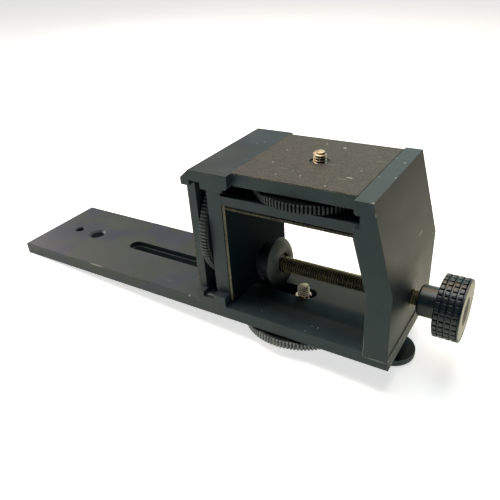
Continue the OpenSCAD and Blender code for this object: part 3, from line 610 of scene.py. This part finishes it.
# Blocks in rows round the Z axis: the block is the object's own mesh, its base at the origin, facing +X
def makeBlockTree():
    tree, given = newTree("blocksRoundAxis", {
        "Columns": "Int", "Rows": "Int", "Radius": "Float", "Row Pitch": "Float", "First Row": "Float"})
    index = addNode(tree, "GeometryNodeInputIndex")
    total = addNode(tree, "Math", {0: given["Columns"], 1: given["Rows"]}, operation="MULTIPLY")
    column = addNode(tree, "Math", {0: index, 1: given["Columns"]}, operation="MODULO")
    share = addNode(tree, "Math", {0: column, 1: given["Columns"]}, operation="DIVIDE")
    angle = addNode(tree, "Math", {0: share, 1: fullTurn}, operation="MULTIPLY")
    rowShare = addNode(tree, "Math", {0: index, 1: given["Columns"]}, operation="DIVIDE")
    row = addNode(tree, "Math", {0: rowShare}, operation="FLOOR")
    height = addNode(tree, "Math", {0: row, 1: given["Row Pitch"], 2: given["First Row"]},
                     operation="MULTIPLY_ADD")
    ways = [addNode(tree, "Math", {0: angle}, operation=way) for way in ("COSINE", "SINE")]
    across, along = [addNode(tree, "Math", {0: w, 1: given["Radius"]}, operation="MULTIPLY") for w in ways]
    spot = addNode(tree, "CombineXYZ", {"X": across, "Y": along, "Z": height})
    facing = addNode(tree, "CombineXYZ", {"Z": angle})
    points = addNode(tree, "GeometryNodePoints", {"Count": total, "Position": spot})
    copies = addNode(tree, "GeometryNodeInstanceOnPoints", {
        "Points": points, "Instance": given["Geometry"], "Rotation": facing})
    return endTree(tree, copies, given["Material"])


# A thread's ridge swells from endSize to its full size over the first endTurns, and back over the last
ridgeShape = {
    "stepsPerTurn": 48,
    "endSize": 0.35,
    "endTurns": 0.6,
}


# A thread's ridge: a four-sided profile, corner outwards, swept along a spiral
def makeThreadTree(values):
    tree, given = newTree("threadRidge", {
        "Turns": "Float", "Radius": "Float", "Pitch": "Float", "Depth": "Float", "Width": "Float",
        "Start": "Float"})
    height = addNode(tree, "Math", {0: given["Turns"], 1: given["Pitch"]}, operation="MULTIPLY")
    middle = addNode(tree, "Math", {0: given["Radius"], 1: given["Depth"]}, operation="SUBTRACT")
    spiral = addNode(tree, "GeometryNodeCurveSpiral", {
        "Resolution": values["stepsPerTurn"], "Rotations": given["Turns"], "Start Radius": middle,
        "End Radius": middle, "Height": height})
    upright = addNode(tree, "GeometryNodeSetCurveNormal", {"Curve": spiral}, mode="Z_UP")
    along = addNode(tree, "GeometryNodeSplineParameter")
    fromEnd = addNode(tree, "Math", {0: along.outputs["Factor"], 1: 0.5}, operation="PINGPONG")
    endShare = addNode(tree, "Math", {0: values["endTurns"], 1: given["Turns"]}, operation="DIVIDE")
    swell = addNode(tree, "MapRange", mapped(fromEnd, (0.0, endShare), (values["endSize"], 1.0)))
    sized = addNode(tree, "GeometryNodeSetCurveRadius", {"Curve": upright, "Radius": swell})
    profile = addNode(tree, "GeometryNodeCurvePrimitiveCircle", {"Resolution": 4, "Radius": given["Depth"]})
    narrow = addNode(tree, "CombineXYZ", {"X": 1.0, "Y": given["Width"], "Z": 1.0})
    slim = addNode(tree, "GeometryNodeTransform", {"Geometry": profile, "Scale": narrow})
    ridge = addNode(tree, "GeometryNodeCurveToMesh", {
        "Curve": sized, "Profile Curve": slim, "Fill Caps": True})
    lift = addNode(tree, "CombineXYZ", {"Z": given["Start"]})
    raised = addNode(tree, "GeometryNodeSetPosition", {"Geometry": ridge, "Offset": lift})
    return endTree(tree, raised, given["Material"])


blockTree = makeBlockTree()
threadTree = makeThreadTree(ridgeShape)
print("geometry trees made")


# One block for a knurl or a grip: base and tip rectangles with a small round on its edges
def makeBlock(name, base, tip, depth, edge):
    shape = bmesh.new()
    corners = [(-1, -1), (1, -1), (1, 1), (-1, 1)]
    low = [shape.verts.new((-depth * mm, y * base[0] * mm / 2, z * base[1] * mm / 2)) for y, z in corners]
    high = [shape.verts.new((0, y * tip[0] * mm / 2, z * tip[1] * mm / 2)) for y, z in corners]
    shape.faces.new(low)
    shape.faces.new(high)
    for i in range(4):
        shape.faces.new([low[i], low[(i + 1) % 4], high[(i + 1) % 4], high[i]])
    bmesh.ops.recalc_face_normals(shape, faces=shape.faces)
    outer = [e for e in shape.edges if any(v in high for v in e.verts)]
    bmesh.ops.bevel(shape, geom=outer, offset=edge * mm, segments=edgeWork["segments"], profile=0.5,
                    affect="EDGES")
    for face in shape.faces:
        face.smooth = True
    mesh = bpy.data.meshes.new(name)
    shape.to_mesh(mesh)
    shape.free()
    return addObject(name, mesh)


def addBlocks(name, values, material):
    block = makeBlock(name, values["base"], values["tip"], values["depth"], values["edge"])
    return runTree(block, blockTree, {
        "Columns": values["columns"], "Rows": values["rows"], "Radius": values["radius"] * mm,
        "Row Pitch": values["pitch"] * mm, "First Row": values["firstRow"] * mm, "Material": material})


def addThread(name, values, start, length, material):
    ridge = runTree(addObject(name, bpy.data.meshes.new(name)), threadTree, {
        "Turns": length / values["pitch"], "Radius": values["radius"] * mm, "Pitch": values["pitch"] * mm,
        "Depth": values["depth"] * mm, "Width": values["width"], "Start": start * mm, "Material": material})
    for face in ridge.data.polygons:
        face.use_smooth = True
    ridge.data.set_sharp_from_angle(angle=math.radians(turning["threadSharpFold"]))
    return ridge


# Gives the sides of a screw's core, between two heights, the darker material of the thread's bottom, painted
# shade in the hollows
def paintGroove(made, material, core, low, high):
    paintFaces(made, material, lambda centre, normal: (
        centre.xy.length < core and abs(normal.z) < 0.5 and low < centre.z < high))


# Beyond the upright the bar ends in a lip that slopes down, painted light; the walls of its slot are painted
# shade, dull
railEnd = {
    "lip": {"from": 206.0, "above": 6.8, "drop": 1.0, "squareFrom": 205.3, "squareAbove": 5.5},
    "paintedLightFrom": 205.5,
    "paintedLightAbove": 5.9,
    "paintedLightSlope": (0.2, 0.95),
}
railSlot = {
    "along": (30, 192),
    "halfWidth": 4.6,
    "wallSlope": 0.4,
}

# Flat pieces: the panels with their rubbed edges
panels = {
    "rail": {"name": "railBar", "bevel": 0.3, "lip": railEnd["lip"]},
    "foot_block": {"name": "footBlock", "bevel": 0.3},
    "right_upright": {"name": "rightUpright", "bevel": 0.3, "roundAbove": 7.2},    # square where it stands
    "corner_strip": {"name": "cornerStrip", "bevel": 0.3},
    "side_plate": {"name": "sidePlate", "bevel": 0.25},
    "inner_wall": {"name": "innerWall", "bevel": 0.25},
    "lower_wall": {"name": "lowerWall", "bevel": 0.2},
    "top_plate": {"name": "topPlate", "bevel": 0.2},
}


def isPaintedLightLip(centre, normal):
    low, high = railEnd["paintedLightSlope"]
    return centre.x > railEnd["paintedLightFrom"] and centre.z > railEnd["paintedLightAbove"] and low < normal.z < high


def isSlotWall(centre, normal):
    left, right = railSlot["along"]
    inSlot = left < centre.x < right and abs(centre.y) < railSlot["halfWidth"]
    return inSlot and abs(normal.z) < railSlot["wallSlope"]


for node, values in panels.items():
    panel = refine(node, main=blackAnodised, edge=wornEdge, **values)
    if node == "rail":
        # painted light on the lip's slope
        paintFaces(panel, paintedLightLip, isPaintedLightLip)
        # painted shade on the slot's walls
        paintFaces(panel, metal["blackAnodisedSlotWallPaintedShade"], isSlotWall)
    dress(panel, "root", [node])
print("panels made")

# Sheets: their front and back edges are knife-cut
pads = {
    "top_pad": {"name": "topPad", "main": gripSheet, "edge": corkSheet["gripPadCutEdge"]},
    "side_pad": {"name": "sidePad", "main": gripSheet, "edge": corkSheet["gripPadCutEdge"]},
    "throat_side_pad": {"name": "throatSidePad", "main": corkSheet["throatLiningFacePaintedShade"],
                        "edge": corkSheet["wallLiningCutEdge"]},
    "throat_top_pad": {"name": "throatTopPad", "main": corkSheet["throatLiningFacePaintedShade"],
                       "edge": corkSheet["ceilingLiningCutEdge"]},
}
padBevel = 0.15
cutSlope = 0.7
for node, values in pads.items():
    pad = refine(node, bevel=padBevel, **values)
    paintFaces(pad, values["edge"], lambda centre, normal: abs(normal.y) > cutSlope)
    dress(pad, "root", [node])
print("pads made")


# Knurled wheels: a disc with a thrust boss, and chamfered ribs round its rim
wheelShape = {
    "outline": [(3.3, 5.3), (7.1, 5.3), (7.4, 5.0), (7.4, 4.5), (29.9, 4.5), (30.9, 3.7), (30.9, 0.8),
                (29.9, 0), (6.2, 0), (6.2, 1.4), (3.3, 1.4)],
    "ribs": {"columns": 110, "rows": 1, "radius": 31.5, "pitch": 0.0, "firstRow": 2.25,
             "base": (1.35, 4.4), "tip": (0.86, 3.5), "depth": 0.8, "edge": 0.12},
}

# Their screws have the quarter-inch camera thread, a journal below and a flange in the wheel; the tip's round
# goes in from the core and down from the tip by these steps
screwShape = {
    "radius": 3.15,
    "pitch": 1.27,
    "depth": 0.62,
    "width": 0.62,
    "journal": 2.5,
    "flange": 6.0,
    "flangeTop": 1.4,
    "neckDepth": 0.1,
    "tipRound": [(0, 0.75), (0.25, 0.3), (0.9, 0.05)],
    "threadShort": 0.35,    # the thread ends this far below the tip
}

# Rims and faces take lit and shaded copies of the dyed knurl: painted shade on the top wheel and wheel faces,
# painted light on the rail wheel's rim
# The rail wheel's screw has no journal, and a bare neck between two heights of its thread
wheels = {
    "top": {
        "journal": 4.1, "threadFrom": 6.0, "neck": None, "tip": 16.8,
        "rim": "blackAnodisedKnurlPaintedShade", "face": "blackAnodisedWheelFacePaintedShade",
        "screw": "turnedBrass", "groove": "brassGroovePaintedShade", "slot": "brass"},
    "side": {
        "journal": 4.1, "threadFrom": 6.0, "neck": None, "tip": 15.3,
        "rim": "blackAnodisedKnurl", "face": "blackAnodisedKnurlPaintedShade",
        "screw": "turnedBrass", "groove": "brassGroovePaintedShade", "slot": "brass"},
    "rail": {
        "journal": 0, "threadFrom": 6.5, "neck": (10.15, 11.65), "tip": 17.55,
        "rim": "blackAnodisedKnurlPaintedLight", "face": "blackAnodisedKnurlPaintedShade",
        "screw": "nickelledBrass", "groove": "oiledThreadGroovePaintedShade", "slot": "nickelled_brass"},
}


def makeWheel(name, shape, values):
    body = turned(name + "Body", shape["outline"], metal[values["face"]], shut=True)
    return [body, addBlocks(name + "Ribs", shape["ribs"], metal[values["rim"]])]


def makeScrew(name, shape, values):
    core = shape["radius"] - shape["depth"]
    journal, neck, tip = values["journal"], values["neck"], values["tip"]
    outline = [(0, -journal), (shape["journal"], -journal)] if journal else [(0, 0)]
    outline += [(shape["journal"], 0), (shape["flange"], 0), (shape["flange"], shape["flangeTop"]),
                (core, shape["flangeTop"])]
    threads = [(values["threadFrom"], tip - shape["threadShort"])]
    if neck:
        inner = core - shape["neckDepth"]
        outline += [(core, neck[0]), (inner, neck[0]), (inner, neck[1]), (core, neck[1])]
        threads = [(values["threadFrom"], neck[0]), (neck[1], tip - shape["threadShort"])]
    outline += [(core - inward, tip - down) for inward, down in shape["tipRound"]] + [(0, tip)]
    material = metal[values["screw"]]
    body = turned(name + "Core", outline, material, steps=turning["screwSteps"])
    paintGroove(body, metal[values["groove"]], core, shape["flangeTop"], tip - shape["tipRound"][0][1])
    pieces = [body]
    half = shape["depth"] / 2
    for number, (low, high) in enumerate(threads):
        if high - low > shape["pitch"]:
            threadName = name + "Thread" + str(number + 1)
            pieces.append(addThread(threadName, shape, low + half, high - low - 2 * half, material))
    return pieces


for side, values in wheels.items():
    wheelPieces = makeWheel(side + "Wheel", wheelShape, values)
    screwPieces = makeScrew(side + "Screw", screwShape, values)
    putAt(wheelPieces + screwPieces, *axisPlace(side + "_wheel_spin", side + "_wheel"))
    for piece in wheelPieces:
        dress(piece, side + "_turn", [side + "_wheel"])
    for piece in screwPieces:
        dress(piece, side + "_turn", [side + "_screw"])

# The clip that holds the rail wheel's screw in the slot: pressed steel, nickelled, edges and all
clip = {"name": "railClip", "bevel": 0.2, "main": metal["nickelledSteel"], "edge": metal["nickelledSteel"]}
dress(refine("rail_clip", **clip), "rail_carriage", ["rail_clip"])
print("wheels and camera screws made")


# Clamping screw: a threaded rod with a ball that the swivel disc leans on; heights are from the ball's centre
rod = {
    "radius": 4.0,
    "pitch": 1.25,
    "depth": 0.6,
    "width": 0.62,
    "wholeLength": 94.1,
    "ballToGrip": 83.88,
    "ball": 3.2,
    "ballSteps": range(0, 136, 9),
    "stalk": 2.2,
    "stalkFrom": 2.6,
    "threadFrom": 3.6,
    "shoulder": 0.3,
    "chamfer": 0.4,
}
disc = {
    "tilt": 81.0,
    "outline": [(0, -6.6), (9.9, -6.6), (10.3, -6.45), (10.5, -6.1), (10.5, 0.9), (10.8, 1.2), (12.9, 1.35),
                (13.1, 1.5), (13.1, 1.75), (12.95, 2.0), (12.6, 2.3), (11.9, 2.85), (11.0, 3.3), (9.8, 3.8),
                (8.6, 4.1), (5.9, 4.1), (5.25, 3.8), (5.25, 2.62), (2.9, 2.62), (2.9, 1.7), (3.27, 1.6),
                (3.27, 0), (2.6, -2.0), (1.2, -3.05), (0, -3.27)],
    "domeAbove": 1.9,
    "domeOutside": 5.3,
}


def makeRod(values):
    core, half = values["radius"] - values["depth"], values["depth"] / 2
    ball, stalk, start, chamfer = values["ball"], values["stalk"], values["threadFrom"], values["chamfer"]
    end = values["wholeLength"] - ball
    angles = [math.radians(step) for step in values["ballSteps"]]
    outline = [(ball * math.sin(a), -ball * math.cos(a)) for a in angles]
    outline += [(stalk, values["stalkFrom"]), (stalk, start), (core, start + values["shoulder"]),
                (core, end - chamfer), (core - chamfer, end), (0, end)]
    body = turned("clampRodCore", outline, metal["brownedSteel"], steps=turning["screwSteps"])
    paintGroove(body, metal["oiledThreadGroovePaintedShade"], core, start, end - chamfer)
    length = end - start - 2 * half - chamfer
    return [body, addThread("clampRodThread", values, start + half, length, metal["brownedSteel"])]


gripPlace, rodTilt = axisPlace("clamp_spin", "knob_grip")
ballPlace = gripPlace - Vector((rod["ballToGrip"] * mm, 0, 0))
clampRod = makeRod(rod)
putAt(clampRod, ballPlace, rodTilt)
for piece in clampRod:
    dress(piece, "clamp_screw", ["clamp_rod"])
pressureDisc = turned("pressureDisc", disc["outline"], metal["blackTurnedAluminium"])
# painted light and shade on the domed flange
paintFaces(pressureDisc, domeSkin, lambda centre, normal: (
    centre.z > disc["domeAbove"] and centre.xy.length > disc["domeOutside"]))
putAt([pressureDisc], ballPlace, math.radians(disc["tilt"]))
dress(pressureDisc, "clamp_disc", ["pressure_disc"])

# Knob: hub, grip with square blocks and a plain end ring, pale end disc that lines the recess
knob = {
    "hub": [(4.05, -8.9), (6.6, -8.9), (7.1, -8.4), (7.5, -7.9), (7.5, -0.35), (7.2, 0), (6.5, 0), (6.5, 6.4),
            (4.05, 6.4)],
    "grip": [(6.6, 0), (13.0, 0), (13.8, 0.5), (13.8, 10.95), (14.55, 11.0), (14.7, 11.15), (14.7, 11.55),
             (14.5, 11.7), (14.0, 11.7), (13.85, 11.55), (13.85, 10.8), (6.8, 10.8), (6.8, 7.2), (6.6, 7.2)],
    "endDisc": [(13.5, 10.9), (13.5, 11.5), (13.3, 11.7), (6.9, 11.7), (6.5, 11.45), (6.5, 8.6), (6.75, 8.6),
                (6.75, 10.9)],
    "recess": [(0, 8.6), (6.7, 8.6), (6.7, 8.0), (0, 8.0)],
    "blocks": {"columns": 32, "rows": 4, "radius": 14.7, "pitch": 2.75, "firstRow": 1.5,
               "base": (2.35, 2.15), "tip": (2.15, 1.95), "depth": 1.1, "edge": 0.18},
}
hub = turned("knobHub", knob["hub"], metal["satinTurnedAluminium"], shut=True)
grip = turned("knobGrip", knob["grip"], plastic["blackMouldedPlastic"], shut=True)
blocks = addBlocks("knobBlocks", knob["blocks"], plastic["blackMouldedPlastic"])
endDisc = turned("knobFace", knob["endDisc"], plastic["paleMouldedPlastic"], shut=True)
# the recess floor takes painted shade
recess = turned("knobRecess", knob["recess"], plastic["palePlasticRecessPaintedShade"])
putAt([hub, grip, blocks, endDisc, recess], gripPlace, rodTilt)
dress(hub, "clamp_screw", ["knob_hub"])
dress(endDisc, "clamp_screw", ["knob_face"])
for piece in (grip, blocks, recess):
    dress(piece, "clamp_screw", ["knob_grip"])
print("clamping screw and knob made")

# Levelling foot: a smooth disc on a threaded stem; its faces count as top or rim by how far up they look, and
# take painted shade on top and a painted highlight on the rim
foot = {
    "disc": [(0, 0), (10.8, 0), (11.25, 0.15), (11.4, 0.6), (11.4, 3.0), (11.25, 3.45), (10.8, 3.65),
             (4.3, 3.7), (3.07, 3.7), (3.07, 1.3), (0, 1.3)],
    "core": [(0, 1.35), (2.4, 1.35), (2.4, 21.6), (2.0, 22.1), (0, 22.1)],
    "radius": 3.0,
    "pitch": 1.0,
    "depth": 0.55,
    "width": 0.7,
    "threadFrom": 1.9,
    "threadLength": 19.6,
    "rimSlope": 0.2,
    "topSlope": 0.9,
}
footDisc = turned("footDisc", foot["disc"], plastic["blackFootPlastic"])
# painted shade on the top, a painted highlight on the rim
paintFaces(footDisc, plastic["blackFootPlasticPaintedShadeTop"], lambda centre, normal: normal.z > foot["topSlope"])
paintFaces(footDisc, plastic["footPlasticPaintedHighlightRim"],
           lambda centre, normal: foot["rimSlope"] < normal.z <= foot["topSlope"])
stemSteel = metal["brownedSteel"]
footCore = turned("footStemCore", foot["core"], stemSteel, steps=turning["screwSteps"])
footThread = addThread("footStemThread", foot, foot["threadFrom"], foot["threadLength"], stemSteel)
putAt([footDisc, footCore, footThread], *axisPlace("foot_spin", "foot_disc"))
dress(footDisc, "foot_turn", ["foot_disc"])
for piece in (footCore, footThread):
    dress(piece, "foot_post", ["foot_stem"])
print("foot made")

# Nodes that keep their CAD mesh
kept = {
    "zincPlatedSteel": ["wall_screws", "upright_screws", "lower_wall_screws", "lower_wall_pins",
                        "top_plate_pins", "corner_pins", "side_plate_pins"],
    "brownedSteel": ["hub_grub_screw", "disc_ring"],
}
for finish, nodes in kept.items():
    for node in nodes:
        mesh = frame["nodes"][node].data
        mesh.materials.clear()
        mesh.materials.append(metal[finish])
print("kept nodes painted")

# Paper floor that the rail's left end and the foot disc stand on. The camera sees it nearly white; glossy
# pieces mirror it as a soft light that is strongest at its heart, cooler in front and warmer behind
paperFloor = {
    "size": 6000.0,
    "front": "#DCEEF0",
    "back": "#F7F3E4",
    "tintAlong": (-120, 60),
    "seenPaper": (0.9, 0.9, 0.9, 1),
    "seenGlow": (0.95, 0.95, 0.95, 1),
    "seenStrength": 0.72,
    "shine": 0.46,
    "shineTint": "#EEF1E4",
    "shineHeart": (200, 40, 0),
    "shineReach": (60, 190),
    "shineShares": (1.25, 0.6),
}
surround = {
    "colour": "#8CC4F0",
    "strength": 0.02,
    "shine": 0.08,
}
lampAim = (140, 0, 30)
lamps = {
    "left": {"place": (-500, 0, 300), "size": 500, "power": 3.8, "colour": "#FFEFE2"},
    "top": {"place": (140, 0, 900), "size": 500, "power": 3.6, "colour": "#EEF2EE"},
    "topBack": {"place": (50, 450, 800), "size": 500, "power": 3.2, "colour": "#FFE4C0"},
    "back": {"place": (100, 700, 250), "size": 500, "power": 0.85, "colour": "#CDF2E8"},
    "backLeft": {"place": (-350, 600, 450), "size": 500, "power": 0.22, "colour": "#FFFFFF"},
    "window": {"place": (-120, -55, 630), "size": 160, "power": 1.2, "colour": "#FFF8EE"},
}


def makeFloor(values):
    railLow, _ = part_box("rail")
    footLow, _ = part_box("foot_disc")
    slope = math.atan2(-footLow.z, footLow.x - railLow.x)
    half = values["size"] * mm / 2
    mesh = bpy.data.meshes.new("studioFloor")
    corners = [(-half, -half, 0), (half, -half, 0), (half, half, 0), (-half, half, 0)]
    mesh.from_pydata(corners, [], [(0, 1, 2, 3)])
    mesh.transform(Matrix.Translation((railLow.x, 0, 0)) @ Matrix.Rotation(slope, 4, "Y"))
    mesh.materials.append(makePaper("paperFloor", values))
    addObject("studioFloor", mesh)


def makePaper(name, values):
    made, tree, place = newMaterial(name)
    path = addNode(tree, "LightPath").outputs
    sight = seen = path["Is Camera Ray"]
    for ray in ("Is Glossy Ray", "Is Transmission Ray"):
        seen = addNode(tree, "Math", {0: seen, 1: path[ray]}, operation="MAXIMUM")
    depth = addNode(tree, "SeparateXYZ", {"Vector": place}).outputs["Y"]
    behind = addNode(tree, "MapRange", mapped(depth, [c * mm for c in values["tintAlong"]]))
    bounced = addNode(tree, "Mix", {
        "Factor": behind, "A": values["front"], "B": values["back"]}, data_type="RGBA")
    colour = addNode(tree, "Mix", {"Factor": sight, "A": bounced, "B": values["seenPaper"]}, data_type="RGBA")
    away = addNode(tree, "VectorMath", {
        0: place, 1: [c * mm for c in values["shineHeart"]]}, operation="DISTANCE").outputs["Value"]
    fading = addNode(tree, "MapRange", mapped(
        away, [r * mm for r in values["shineReach"]], values["shineShares"]), interpolation_type="SMOOTHSTEP")
    shine = addNode(tree, "Math", {0: fading, 1: values["shine"]}, operation="MULTIPLY")
    strength = addNode(tree, "Mix", {"Factor": sight, "A": shine, "B": values["seenStrength"]})
    tinted = addNode(tree, "Mix", {
        "Factor": 1.0, "A": bounced, "B": values["shineTint"]}, data_type="RGBA", blend_type="MULTIPLY")
    warm = addNode(tree, "Mix", {"Factor": sight, "A": tinted, "B": values["seenGlow"]}, data_type="RGBA")
    paper = addNode(tree, "BsdfDiffuse", {"Color": colour})
    glow = addNode(tree, "Emission", {"Color": warm, "Strength": strength})
    both = addNode(tree, "AddShader", {0: paper, 1: glow})
    pick = addNode(tree, "MixShader", {0: seen, 1: paper, 2: both})
    addNode(tree, "OutputMaterial", {"Surface": pick})
    return made


def makeLamp(name, values):
    data = bpy.data.lights.new(name, "AREA")
    data.shape = "SQUARE"
    data.size = values["size"] * mm
    data.energy = values["power"]
    data.color = hexToLinear(values["colour"])[:3]
    lamp = bpy.data.objects.new(name, data)
    lamp.location = Vector(values["place"]) * mm
    aim = Vector(lampAim) * mm - lamp.location
    lamp.rotation_euler = aim.to_track_quat("-Z", "Y").to_euler()
    bpy.context.scene.collection.objects.link(lamp)


# The surround is white to the camera and a dim sky blue to the object, a little brighter where it is mirrored
def makeSurround(values):
    world = bpy.data.worlds.new("paleSurround")
    world.use_nodes = True
    tree = world.node_tree
    tree.nodes.clear()
    path = addNode(tree, "LightPath").outputs
    white = addNode(tree, "Background", {"Color": (1, 1, 1, 1), "Strength": 1.0})
    level = addNode(tree, "Math", {
        0: path["Is Glossy Ray"], 1: values["shine"], 2: values["strength"]}, operation="MULTIPLY_ADD")
    soft = addNode(tree, "Background", {"Color": values["colour"], "Strength": level})
    pick = addNode(tree, "MixShader", {0: path["Is Camera Ray"], 1: soft, 2: white})
    addNode(tree, "OutputWorld", {"Surface": pick})
    bpy.context.scene.world = world


makeFloor(paperFloor)
for name, values in lamps.items():
    makeLamp(name + "Lamp", values)
makeSurround(surround)
bpy.context.scene.view_settings.view_transform = "Standard"
print("studio made")
